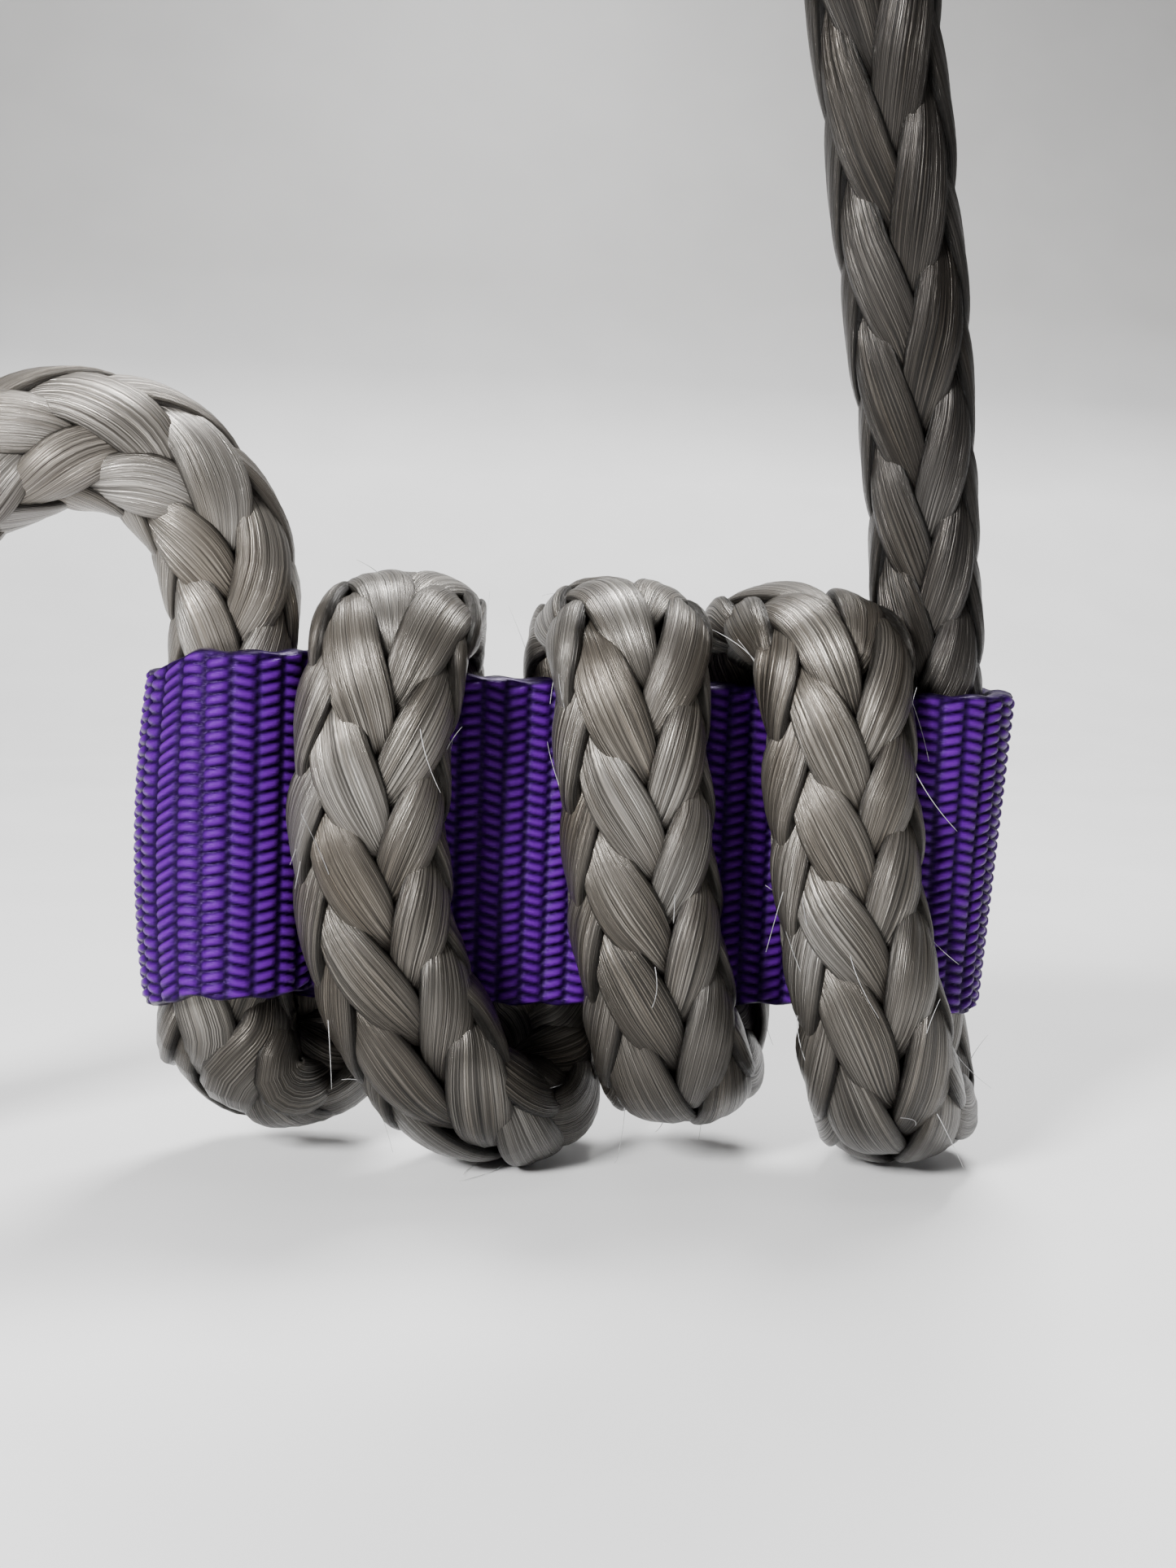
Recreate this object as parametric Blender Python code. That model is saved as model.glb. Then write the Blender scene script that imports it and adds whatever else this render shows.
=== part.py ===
"""Rope sling: a 12-strand soft rope wound three times round a purple webbing band, with a spliced eye on each leg.

Run it with blender --background --python part.py, or from Blender's text editor.
Lengths in this file are millimetres until they reach Blender, which takes metres.
X runs along the band, Y away from its front face, and Z up from the surface that the turns stand on.
"""

import math

import bpy
import numpy as np

MM = 0.001
GAP = 0.3  # clearance between neighbouring pieces
CUT_TRIM = 0.25  # taken off each side where one stretch of rope meets the next

# Where the design's own zero, the middle of the band on the standing surface, lies in the part's frame
SHIFT = (57.35, 4.0, 0.0)

ROPE_R = 5.7  # the rope where it runs free
TURN_R = 5.2  # half its thickness where it lies on the band
CREST_R = 4.6  # half its thickness where it is pressed over the band's top edge

BAND_LOW, BAND_HIGH = 15.0, 45.0  # 30 mm webbing standing on edge
BAND_T = 2.1
BAND_HALF_GAP = 0.2  # half the space between the two layers at the waist
FOLD_IN_R = 6.0  # inside of each end fold, round the rope
NECK_R = 2.5
FOLD_X = (-31.2, 32.9)  # the middles of the left and right folds
WAIST_COLUMNS = (-16.0, -10.5, -2.6, 5.0, 14.0)

HINGE_Z = BAND_HIGH + 2.0  # height at which the right leg bends
LEG_START_Z = 46.4  # top of the rope inside the left fold

EYE_LENGTH, EYE_WIDTH, EYE_TAPER = 46.0, 31.0, 0.25  # centreline of each eye, and how far it narrows to its throat
EYE_POINTS = 16
THROAT = (-98.0, -4.0, 7.0)  # the end of the left leg, lying on the surface
RIGHT_THROAT = (20.4, -5.6, 117.0)

WHIP_LENGTH, WHIP_INSET, WHIP_IN_R, WHIP_OUT_R = 7.0, 1.5, 6.1, 6.9
THREAD_R = 0.4
STITCH_X, STITCH_COUNT, STITCH_RISE, STITCH_MARGIN = -8.0, 9, 0.25, 1.5

SIDES = 3  # bevel resolution: ten sides to a rope

# The rope's middle line from the left fold to the right one: x, y, z and radius.
TURNS_ROUTE = [
    (FOLD_X[0], 0, LEG_START_Z, 5.6),
    (FOLD_X[0], 0, 30, 5.6),
    (FOLD_X[0], 0, 16.5, 5.4),
    (-30.6, 1.0, 10.8, 5.0),
    (-27.2, 4.2, 7.9, 5.0),
    (-23.0, 7.4, 9.4, 5.1),
    (-20.2, 8.7, 16, TURN_R),
    (-17.8, 8.2, 26, TURN_R),
    (-15.8, 7.9, 36, TURN_R),
    (-14.6, 7.9, 42.5, TURN_R),
    (-15.0, 6.2, 48.7, 4.5),
    (-16.2, 0, 50.0, CREST_R),
    (-17.7, -6.2, 48.7, 4.5),
    (-18.9, -7.9, 42.5, TURN_R),
    (-19.4, -7.9, 33, TURN_R),
    (-18.6, -7.9, 24, TURN_R),
    (-16.2, -7.8, 17, TURN_R),
    (-12.2, -6.6, 9.8, TURN_R),
    (-7.4, -2.8, 5.6, TURN_R),
    (-3.4, 2.8, 5.6, TURN_R),
    (-1.6, 7.6, 10, TURN_R),
    (-1.0, 8.2, 17, TURN_R),
    (0.2, 7.9, 26, TURN_R),
    (1.6, 7.9, 35, TURN_R),
    (2.8, 7.9, 42.5, TURN_R),
    (3.3, 6.2, 48.7, 4.5),
    (3.6, 0, 50.0, CREST_R),
    (3.5, -6.2, 48.7, 4.5),
    (3.4, -7.9, 42.5, TURN_R),
    (4.2, -7.9, 34, TURN_R),
    (5.4, -7.9, 25, TURN_R),
    (6.9, -8.0, 17.5, TURN_R),
    (8.9, -6.0, 10.9, 4.7),
    (11.2, -0.4, 8.8, 4.8),
    (13.4, 5.4, 10.2, 4.7),
    (14.6, 8.1, 17, TURN_R),
    (15.6, 7.9, 26, TURN_R),
    (17.0, 7.9, 35, TURN_R),
    (18.4, 7.9, 42.5, TURN_R),
    (19.2, 6.2, 48.7, 4.5),
    (20.6, 0, 50.0, CREST_R),
    (21.7, -6.6, 48.8, 4.5),
    (22.1, -8.9, 42.5, TURN_R),
    (22.8, -9.6, 34, TURN_R),
    (23.9, -10.6, 25, TURN_R),
    (25.4, -11.7, 17.5, TURN_R),
    (27.4, -10.6, 10.6, 5.0),
    (30.2, -5.6, 6.0, 5.0),
    (33.4, -0.2, 5.8, 5.0),
    (33.9, 0.9, 9.8, 5.0),
    (FOLD_X[1], 0, 16, 5.3),
    (FOLD_X[1], 0, 28, 5.6),
    (FOLD_X[1], 0, 40.7, 5.6),
]
# Each stretch of it: first and last entry of the route, and how many points its tube has.
STRETCHES = {
    "rope_left_run": (0, 7, 15),
    "rope_turn_1": (7, 22, 24),
    "rope_turn_2": (22, 36, 24),
    "rope_turn_3": (36, 44, 14),
    "rope_right_run": (44, 52, 16),
}
LEFT_LEG_ROUTE = [
    (FOLD_X[0], 0, LEG_START_Z + GAP, 5.6),
    (-31.4, 0, 53, ROPE_R),
    (-34.2, -0.1, 59.6, ROPE_R),
    (-39.8, -0.4, 64.1, ROPE_R),
    (-47.0, -0.9, 64.6, ROPE_R),
    (-55.0, -1.5, 60.6, ROPE_R),
    (-62.4, -2.2, 52, ROPE_R),
    (-67.5, -2.9, 41, ROPE_R),
    (-71.5, -3.5, 27, ROPE_R),
    (-76.6, -3.9, 13.5, ROPE_R),
    (-84.0, -4.0, 7.8, ROPE_R),
    (-88.5, -4.0, 7.2, ROPE_R),
    (*THROAT, ROPE_R),
]
RIGHT_LEG_ROUTE = [
    (FOLD_X[1], 0, HINGE_Z, ROPE_R),
    (32.4, -0.2, 55, ROPE_R),
    (30.9, -1.0, 66, ROPE_R),
    (28.3, -2.4, 80, ROPE_R),
    (24.6, -4.1, 98, ROPE_R),
    (*RIGHT_THROAT, ROPE_R),
]

ROPE_GREY = (0.29, 0.28, 0.255)
ROPE_DARK = (0.2, 0.19, 0.17)
PURPLE = (0.13, 0.035, 0.42)
THREAD = (0.2, 0.06, 0.5)
TWINE = (0.12, 0.115, 0.1)


def clear_scene():
    for old in list(bpy.data.objects):
        bpy.data.objects.remove(old)


def material(name, colour, roughness):
    made = bpy.data.materials.new(name)
    made.use_nodes = True
    shader = made.node_tree.nodes["Principled BSDF"]
    shader.inputs["Base Color"].default_value = (*colour, 1)
    shader.inputs["Roughness"].default_value = roughness
    shader.inputs["Metallic"].default_value = 0
    return made


def in_metres(point):
    return tuple((value + shift) * MM for value, shift in zip(point[:3], SHIFT))


def add_object(name, data, colour, roughness=0.6, pivot=None):
    """Links an object whose data is in world metres, and puts its origin at pivot, in millimetres."""
    made = bpy.data.objects.new(name, data)
    bpy.context.scene.collection.objects.link(made)
    data.materials.append(material(name, colour, roughness))
    if pivot is not None:
        place = in_metres(pivot)
        for spline in getattr(data, "splines", []):
            for point in spline.points:
                point.co = (*(value - at for value, at in zip(point.co, place)), 1)
        for vertex in getattr(data, "vertices", []):
            vertex.co = [value - at for value, at in zip(vertex.co, place)]
        made.location = place
    return made


def smooth(route, first, last, count):
    """count points, evenly spaced, on the smooth curve through the route between two of its entries."""
    knots = np.array(route, float)
    before, after = 2 * knots[0] - knots[1], 2 * knots[-1] - knots[-2]
    padded = np.vstack([before, knots, after])
    fine = []
    for i in range(first, last):
        p0, p1, p2, p3 = padded[i : i + 4]
        for t in np.linspace(0, 1, 25)[: 25 if i == last - 1 else 24]:
            fine.append(
                0.5 * (2 * p1 + (p2 - p0) * t + (2 * p0 - 5 * p1 + 4 * p2 - p3) * t**2
                       + (3 * p1 - p0 - 3 * p2 + p3) * t**3)
            )
    fine = np.array(fine)
    along = np.concatenate([[0], np.cumsum(np.linalg.norm(np.diff(fine[:, :3], axis=0), axis=1))])
    at = np.linspace(0, along[-1], count)
    return np.array([np.interp(at, along, fine[:, k]) for k in range(4)]).T


def trim(points, start, end):
    """Moves the first and last point inwards by those amounts, to leave a gap to the next stretch."""
    for index, beside, amount in ((0, 1, start), (-1, -2, end)):
        step = points[beside, :3] - points[index, :3]
        points[index, :3] += step / np.linalg.norm(step) * amount
    return points


def tube(name, points, colour, cyclic=False, pivot=None):
    """A round tube with filled ends along points, each x, y, z and radius."""
    data = bpy.data.curves.new(name, "CURVE")
    data.dimensions = "3D"
    data.bevel_depth = MM
    data.bevel_resolution = SIDES
    data.use_fill_caps = True
    spline = data.splines.new("POLY")
    spline.points.add(len(points) - 1)
    for target, point in zip(spline.points, points):
        target.co = (*in_metres(point), 1)
        target.radius = point[3]
    spline.use_cyclic_u = cyclic
    return add_object(name, data, colour, pivot=pivot)


def solid(name, corners, faces, colour, pivot=None):
    data = bpy.data.meshes.new(name)
    data.from_pydata([in_metres(corner) for corner in corners], [], faces)
    data.update()
    return add_object(name, data, colour, pivot=pivot)


def band_outline(offset):
    """The closed plan of the band, offset outwards from the middle of the webbing, counterclockwise."""
    fold_r = FOLD_IN_R + BAND_T / 2
    layer_y = BAND_HALF_GAP + BAND_T / 2
    reach = math.sqrt((fold_r + NECK_R) ** 2 - (layer_y + NECK_R) ** 2)
    turn = math.atan2(layer_y + NECK_R, reach)

    def right_end():
        middle = FOLD_X[1]
        plan = []
        for k in range(4):  # neck, front side
            a = math.pi / 2 - k / 3 * (math.pi / 2 - turn)
            plan.append((middle - reach + (NECK_R - offset) * math.cos(a),
                         -layer_y - NECK_R + (NECK_R - offset) * math.sin(a)))
        for k in range(1, 20):  # fold
            a = math.pi + turn + k / 20 * (2 * math.pi - 2 * turn)
            plan.append((middle + (fold_r + offset) * math.cos(a), (fold_r + offset) * math.sin(a)))
        for k in range(4):  # neck, back side
            a = -turn - k / 3 * (math.pi / 2 - turn)
            plan.append((middle - reach + (NECK_R - offset) * math.cos(a),
                         layer_y + NECK_R + (NECK_R - offset) * math.sin(a)))
        return plan

    right = right_end()
    mirror = FOLD_X[0] + FOLD_X[1]
    left = [(mirror - x, -y) for x, y in right]
    front = [(x, -layer_y - offset) for x in WAIST_COLUMNS]
    back = [(x, layer_y + offset) for x in reversed(WAIST_COLUMNS)]
    return right + back + left + front


def webbing_band():
    outer, inner = band_outline(BAND_T / 2), band_outline(-BAND_T / 2)
    n = len(outer)
    rings = [[(x, y, z) for x, y in plan] for plan in (outer, inner) for z in (BAND_LOW, BAND_HIGH)]
    corners = [corner for ring in rings for corner in ring]
    faces = []
    for i in range(n):
        j = (i + 1) % n
        low_out, high_out, low_in, high_in = (k * n for k in range(4))
        faces.append((low_out + i, low_out + j, high_out + j, high_out + i))
        faces.append((low_in + j, low_in + i, high_in + i, high_in + j))
        faces.append((high_out + i, high_out + j, high_in + j, high_in + i))
        faces.append((low_out + j, low_out + i, low_in + i, low_in + j))
    solid("webbing_band", corners, faces, PURPLE)


def seam_thread():
    """The line of lockstitch that closes the band, on the back layer between the first two turns."""
    face_y = BAND_HALF_GAP + BAND_T + GAP + THREAD_R
    count = 2 * STITCH_COUNT + 1
    line = []
    for k in range(count):
        z = BAND_LOW + STITCH_MARGIN + (BAND_HIGH - BAND_LOW - 2 * STITCH_MARGIN) * k / (count - 1)
        line.append((STITCH_X, face_y + (k % 2) * STITCH_RISE, z, THREAD_R))
    tube("seam_thread", line, THREAD)


def rope_stretches():
    for name, (first, last, count) in STRETCHES.items():
        points = smooth(TURNS_ROUTE, first, last, count)
        last_entry = len(TURNS_ROUTE) - 1
        points = trim(points, 0 if first == 0 else CUT_TRIM, 0 if last == last_entry else CUT_TRIM)
        tube(name, points, ROPE_GREY)


def unit(vector):
    return np.array(vector, float) / np.linalg.norm(vector)


def eye(name, throat, outward, sideways, pivot, colour):
    """A closed egg-shaped ring of rope, starting just past the end of its leg."""
    near = np.array(throat, float) + unit(outward) * (ROPE_R + GAP)
    middle = near + unit(outward) * EYE_LENGTH / 2
    ring = []
    for k in range(EYE_POINTS):
        a = 2 * math.pi * k / EYE_POINTS
        place = middle - unit(outward) * EYE_LENGTH / 2 * math.cos(a)
        place = place + unit(sideways) * EYE_WIDTH / 2 * math.sin(a) * (1 - EYE_TAPER * math.cos(a))
        ring.append((*place, ROPE_R))
    tube(name, ring, colour, cyclic=True, pivot=pivot)


def whipping(name, end, along, pivot):
    """A sleeve of twine round the leg, just short of its end."""
    axis = unit(along)
    side = unit(np.cross(axis, (0, 1, 0)))
    third = np.cross(axis, side)
    count = 20
    corners, faces = [], []
    for radius in (WHIP_OUT_R, WHIP_IN_R):
        for reach in (WHIP_LENGTH + WHIP_INSET, WHIP_INSET):
            for k in range(count):
                a = 2 * math.pi * k / count
                corner = np.array(end) - axis * reach + radius * (side * math.cos(a) + third * math.sin(a))
                corners.append(tuple(corner))
    for i in range(count):
        j = (i + 1) % count
        low_out, high_out, low_in, high_in = (k * count for k in range(4))
        faces.append((low_out + i, low_out + j, high_out + j, high_out + i))
        faces.append((low_in + j, low_in + i, high_in + i, high_in + j))
        faces.append((high_out + i, high_out + j, high_in + j, high_in + i))
        faces.append((low_out + j, low_out + i, low_in + i, low_in + j))
    solid(name, corners, faces, TWINE, pivot=pivot)


def left_leg():
    pivot = (FOLD_X[0], 0, LEG_START_Z)
    points = smooth(LEFT_LEG_ROUTE, 0, len(LEFT_LEG_ROUTE) - 1, 20)
    tube("left_leg", points, ROPE_GREY, pivot=pivot)
    along = unit(points[-1, :3] - points[-2, :3])
    whipping("left_eye_whipping", points[-1, :3], along, pivot)
    floor_level = (THROAT[0], THROAT[1], ROPE_R)
    eye("left_eye", floor_level, (-1, 0, 0), (0, 1, 0), pivot, ROPE_GREY)


def right_leg():
    """The upright leg. Its lower end is a ball about its hinge, inside the top of the right fold."""
    pivot = (FOLD_X[1], 0, HINGE_Z)
    ball = []
    for degrees in (3, 30, 60):
        a = math.radians(degrees)
        ball.append((FOLD_X[1], 0, HINGE_Z - ROPE_R * math.cos(a), ROPE_R * math.sin(a)))
    points = smooth(RIGHT_LEG_ROUTE, 0, len(RIGHT_LEG_ROUTE) - 1, 9)
    tube("right_leg", [*ball, *points], ROPE_DARK, pivot=pivot)
    along = unit(points[-1, :3] - points[-2, :3])
    whipping("right_eye_whipping", points[-1, :3], along, pivot)
    sideways = unit(np.cross(along, (0, 1, 0)))
    eye("right_eye", RIGHT_THROAT, along, sideways, pivot, ROPE_DARK)


clear_scene()
webbing_band()
seam_thread()
rope_stretches()
left_leg()
right_leg()
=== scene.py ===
import math

import bpy
import numpy as np
from mathutils import Matrix


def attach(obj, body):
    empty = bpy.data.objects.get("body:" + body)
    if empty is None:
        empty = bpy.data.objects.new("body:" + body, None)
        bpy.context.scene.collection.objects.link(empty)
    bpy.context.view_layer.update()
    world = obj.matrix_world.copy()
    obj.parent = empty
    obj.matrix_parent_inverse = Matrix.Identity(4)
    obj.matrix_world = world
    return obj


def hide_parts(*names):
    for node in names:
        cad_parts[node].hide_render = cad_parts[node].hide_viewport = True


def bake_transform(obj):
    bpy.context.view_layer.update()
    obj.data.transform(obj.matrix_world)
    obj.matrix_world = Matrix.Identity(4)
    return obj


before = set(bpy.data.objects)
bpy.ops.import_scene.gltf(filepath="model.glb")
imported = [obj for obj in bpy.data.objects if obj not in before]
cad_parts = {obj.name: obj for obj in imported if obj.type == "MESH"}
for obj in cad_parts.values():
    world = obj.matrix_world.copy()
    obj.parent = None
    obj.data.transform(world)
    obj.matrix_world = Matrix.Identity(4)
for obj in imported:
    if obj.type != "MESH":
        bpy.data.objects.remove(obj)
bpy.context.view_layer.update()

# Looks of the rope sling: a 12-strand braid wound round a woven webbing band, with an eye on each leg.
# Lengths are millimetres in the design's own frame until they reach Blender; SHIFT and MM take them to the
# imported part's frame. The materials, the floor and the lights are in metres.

MM = 0.001
SHIFT = np.array((57.35, 4.0, 0.0))


def unit(vector):
    vector = np.asarray(vector, float)
    return vector / np.linalg.norm(vector)


def frame_matrix(right, up, back, place):
    """The matrix of a camera or lamp at place, from the directions of its own axes."""
    matrix = Matrix.Identity(4)
    for column, values in enumerate((right, up, back, place)):
        for row in range(3):
            matrix[row][column] = values[row]
    return matrix


# ---------------------------------------------------------------- camera

CAMERA_TARGET = np.array((1.2, 0.0, 35.4))
CAMERA_DISTANCE = 195.0
CAMERA_YAW, CAMERA_PITCH, CAMERA_ROLL = (math.radians(angle) for angle in (10.0, 7.0, 2.2))
CAMERA_LENS = 48.6


def make_camera():
    """Looks at the turns from the front, a little from the left and from above."""
    data = bpy.data.cameras.new("camera")
    data.lens = CAMERA_LENS
    data.sensor_width = 36.0
    data.clip_start, data.clip_end = 0.005, 20.0
    camera = bpy.data.objects.new("camera", data)
    bpy.context.scene.collection.objects.link(camera)
    back = np.array((
        -math.sin(CAMERA_YAW) * math.cos(CAMERA_PITCH),
        -math.cos(CAMERA_YAW) * math.cos(CAMERA_PITCH),
        math.sin(CAMERA_PITCH),
    ))
    right = unit(np.cross(-back, (0, 0, 1)))
    up = np.cross(back, right)
    rolled_right = right * math.cos(CAMERA_ROLL) + up * math.sin(CAMERA_ROLL)
    rolled_up = up * math.cos(CAMERA_ROLL) - right * math.sin(CAMERA_ROLL)
    place = (CAMERA_TARGET + back * CAMERA_DISTANCE + SHIFT) * MM
    camera.matrix_world = frame_matrix(rolled_right, rolled_up, back, place)
    bpy.context.scene.camera = camera


make_camera()

# ---------------------------------------------------------------- the rope's route

FOLD_X = (-31.2, 32.9)  # the middles of the left and right folds
LEG_START_Z = 46.4
HINGE_Z = 47.0
THROAT = (-98.0, -4.0, 7.0)
RIGHT_THROAT = (20.4, -5.6, 117.0)
EYE_LENGTH, EYE_WIDTH, EYE_TAPER, EYE_OFFSET = 46.0, 31.0, 0.25, 6.0
ROPE_DIAMETER = 12.0

# The routes of the CAD model: x, y, z.
TURNS_ROUTE = [
    (FOLD_X[0], 0, LEG_START_Z),
    (FOLD_X[0], 0, 30),
    (FOLD_X[0], 0, 16.5),
    (-30.6, 1.0, 10.8),
    (-27.2, 4.2, 7.9),
    (-23.0, 7.4, 9.4),
    (-20.2, 8.7, 16),
    (-17.8, 8.2, 26),
    (-15.8, 7.9, 36),
    (-14.6, 7.9, 42.5),
    (-15.0, 6.2, 48.7),
    (-16.2, 0, 50.0),
    (-17.7, -6.2, 48.7),
    (-18.9, -7.9, 42.5),
    (-19.4, -7.9, 33),
    (-18.6, -7.9, 24),
    (-16.2, -7.8, 17),
    (-12.2, -6.6, 9.8),
    (-7.4, -2.8, 5.6),
    (-3.4, 2.8, 5.6),
    (-1.6, 7.6, 10),
    (-1.0, 8.2, 17),
    (0.2, 7.9, 26),
    (1.6, 7.9, 35),
    (2.8, 7.9, 42.5),
    (3.3, 6.2, 48.7),
    (3.6, 0, 50.0),
    (3.5, -6.2, 48.7),
    (3.4, -7.9, 42.5),
    (4.2, -7.9, 34),
    (5.4, -7.9, 25),
    (6.9, -8.0, 17.5),
    (8.9, -6.0, 10.9),
    (11.2, -0.4, 8.8),
    (13.4, 5.4, 10.2),
    (14.6, 8.1, 17),
    (15.6, 7.9, 26),
    (17.0, 7.9, 35),
    (18.4, 7.9, 42.5),
    (19.2, 6.2, 48.7),
    (20.6, 0, 50.0),
    (21.7, -6.6, 48.8),
    (22.1, -8.9, 42.5),
    (22.8, -9.6, 34),
    (23.9, -10.6, 25),
    (25.4, -11.7, 17.5),
    (27.4, -10.6, 10.6),
    (30.2, -5.6, 6.0),
    (33.4, -0.2, 5.8),
    (33.9, 0.9, 9.8),
    (FOLD_X[1], 0, 16),
    (FOLD_X[1], 0, 28),
    (FOLD_X[1], 0, 40.7),
]
LEFT_LEG_ROUTE = [
    (-31.4, 0, 53),
    (-34.2, -0.1, 59.6),
    (-39.8, -0.4, 64.1),
    (-47.0, -0.9, 64.6),
    (-55.0, -1.5, 60.6),
    (-62.4, -2.2, 52),
    (-67.5, -2.9, 41),
    (-71.5, -3.5, 27),
    (-76.6, -3.9, 13.5),
    (-84.0, -4.0, 7.8),
    THROAT,
]
RIGHT_LEG_ROUTE = [
    (FOLD_X[1], 0, HINGE_Z),
    (32.4, -0.2, 55),
    (30.9, -1.0, 66),
    (28.3, -2.4, 80),
    (24.6, -4.1, 98),
    RIGHT_THROAT,
]

SLACK_LAY = 50.0  # length in which a strand goes once round the rope
TAUT_LAY = 84.0
LEG_GIRTH = (5.6, 5.2, 5.3, 5.8, 5.8)  # the upright leg's half width at each point of its route
FREE_SIZE = (6.2, 6.0)  # half width along the surface it lies on, and half thickness
FOLD_SIZE = (5.7, 5.7)
TURN_SIZE = (6.9, 5.2)
CREST_SIZE = (7.2, 4.7)
BOTTOM_SIZE = (7.2, 5.3)
EYE_SIZE = (5.6, 5.6)
CREST_Z, BOTTOM_Z = 46, 13  # heights past which the rope lies over the band's edge or under it
EDGE_LOW, EDGE_HIGH = 18.0, 42.0  # heights between which it lies flat against the band
RING_POINTS = 13


def eye_ring(throat, outward, sideways, first, last, count):
    """Points round an eye's middle line, from first to last degrees past the throat."""
    middle = np.array(throat) + unit(outward) * (EYE_OFFSET + EYE_LENGTH / 2)
    ring = []
    for a in np.radians(np.linspace(first, last, count)):
        place = middle - unit(outward) * EYE_LENGTH / 2 * math.cos(a)
        ring.append(place + unit(sideways) * EYE_WIDTH / 2 * math.sin(a) * (1 - EYE_TAPER * math.cos(a)))
    return ring


def outward_from_band(point):
    """The way out of the band's flat faces, rounded over its edges."""
    y, z = point[1], point[2]
    away = np.array((0.0, y, z - min(max(z, EDGE_LOW), EDGE_HIGH)))
    return unit(away) if np.linalg.norm(away) > 1.0 else np.array((0.0, -1.0, 0.0))


def turn_size(point):
    """The rope's half sizes at a point of the turns."""
    if point[2] > CREST_Z:
        return CREST_SIZE
    return BOTTOM_SIZE if point[2] < BOTTOM_Z else TURN_SIZE


def route_knots():
    """Place, facing, size and lay at each knot of the rope, from the left eye's tail to the right one's."""
    knots = []

    def add(point, facing, size, lay):
        knots.append((*point, *unit(facing), *size, lay))

    up, front, behind = (0, 0, 1), (0, -1, 0), (0, 1, 0)
    floor_throat = (THROAT[0], THROAT[1], ROPE_DIAMETER / 2 - 0.3)
    left_ring = eye_ring(floor_throat, (-1, 0, 0), (0, 1, 0), 55, 305, RING_POINTS)
    add((THROAT[0] + 5, THROAT[1] + 1.5, THROAT[2]), up, (3.4, 3.4), SLACK_LAY)
    add((THROAT[0] - 1, THROAT[1] + 2.4, THROAT[2]), up, (4.4, 4.4), SLACK_LAY)
    for point in left_ring:
        add(point, up, EYE_SIZE, SLACK_LAY)
    add((THROAT[0] - 1, THROAT[1] - 2.2, THROAT[2]), up, (4.8, 4.8), SLACK_LAY)
    add((THROAT[0] + 6, THROAT[1], THROAT[2] + 0.1), up, (5.6, 5.6), SLACK_LAY)
    for point in reversed(LEFT_LEG_ROUTE[:-1]):
        if point[2] < 30:
            facing = unit((-1, -0.2, 1.5)) if point[2] < 20 else unit((-1, -0.7, 0.2))
        else:
            facing = unit((-0.5, -1, 0.2)) if point[2] < 50 else front
        add(point, facing, FREE_SIZE, SLACK_LAY)
    for index, point in enumerate(TURNS_ROUTE):
        if index < 3:
            add(point, front, FOLD_SIZE, SLACK_LAY)
        elif index >= len(TURNS_ROUTE) - 4:
            add(point, behind, FOLD_SIZE, SLACK_LAY)
        else:
            add(point, outward_from_band(point), turn_size(point), SLACK_LAY)
    for point, half in zip(RIGHT_LEG_ROUTE[:-1], LEG_GIRTH):
        pull = min(max((point[2] - HINGE_Z) / 50, 0), 1)
        add(point, behind, (half, half), SLACK_LAY + (TAUT_LAY - SLACK_LAY) * pull)
    throat = np.array(RIGHT_THROAT)
    along = unit(throat - np.array(RIGHT_LEG_ROUTE[-2]))
    sideways = unit(np.cross(along, (0, 1, 0)))
    add(throat - along * 4, behind, (6.1, 6.1), TAUT_LAY)
    add(throat + along * 2 + sideways * 2.2, behind, (4.8, 4.8), TAUT_LAY)
    for point in eye_ring(RIGHT_THROAT, along, sideways, 55, 305, RING_POINTS):
        add(point, behind, EYE_SIZE, SLACK_LAY)
    add(throat + along * 2 - sideways * 2.4, behind, (4.4, 4.4), SLACK_LAY)
    add(throat - along * 5 - sideways * 1.0, behind, (3.4, 3.4), SLACK_LAY)
    return np.array(knots)


CURVE_POINTS = 20  # between two knots


def smooth_curve(knots, step):
    """All the knots' numbers along the Catmull-Rom curve through them, at even steps of its length."""
    padded = np.vstack([2 * knots[0] - knots[1], knots, 2 * knots[-1] - knots[-2]])
    t = np.linspace(0, 1, CURVE_POINTS, endpoint=False)[:, None]
    parts = []
    for i in range(len(knots) - 1):
        p0, p1, p2, p3 = padded[i : i + 4]
        square = (2 * p0 - 5 * p1 + 4 * p2 - p3) * t**2
        cube = (3 * p1 - p0 - 3 * p2 + p3) * t**3
        parts.append(0.5 * (2 * p1 + (p2 - p0) * t + square + cube))
    fine = np.vstack([*parts, knots[-1:]])
    along = np.concatenate([[0], np.cumsum(np.linalg.norm(np.diff(fine[:, :3], axis=0), axis=1))])
    at = np.arange(0, along[-1], step)
    return at, np.array([np.interp(at, along, column) for column in fine.T]).T


def softened(values, width):
    """The rows of values, averaged over their neighbours up to width rows away."""
    weights = np.hanning(2 * width + 3)[1:-1]
    padded = np.pad(values, ((width, width), (0, 0)), mode="edge")
    return np.array([np.convolve(column, weights / weights.sum(), "valid") for column in padded.T]).T


STEP = 0.9
stations, curve = smooth_curve(route_knots(), STEP)
centres = softened(curve[:, :3], 2)
tangents = np.gradient(centres, axis=0)
tangents /= np.linalg.norm(tangents, axis=1)[:, None]
facing = softened(curve[:, 3:6], 4)
facing -= tangents * (facing * tangents).sum(1)[:, None]
facing /= np.linalg.norm(facing, axis=1)[:, None]
across = np.cross(tangents, facing)
half_width, half_thick = softened(curve[:, 6:8], 3).T
turns_made = np.concatenate([[0], np.cumsum(STEP / curve[1:, 8])])

# ---------------------------------------------------------------- braid

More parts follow.
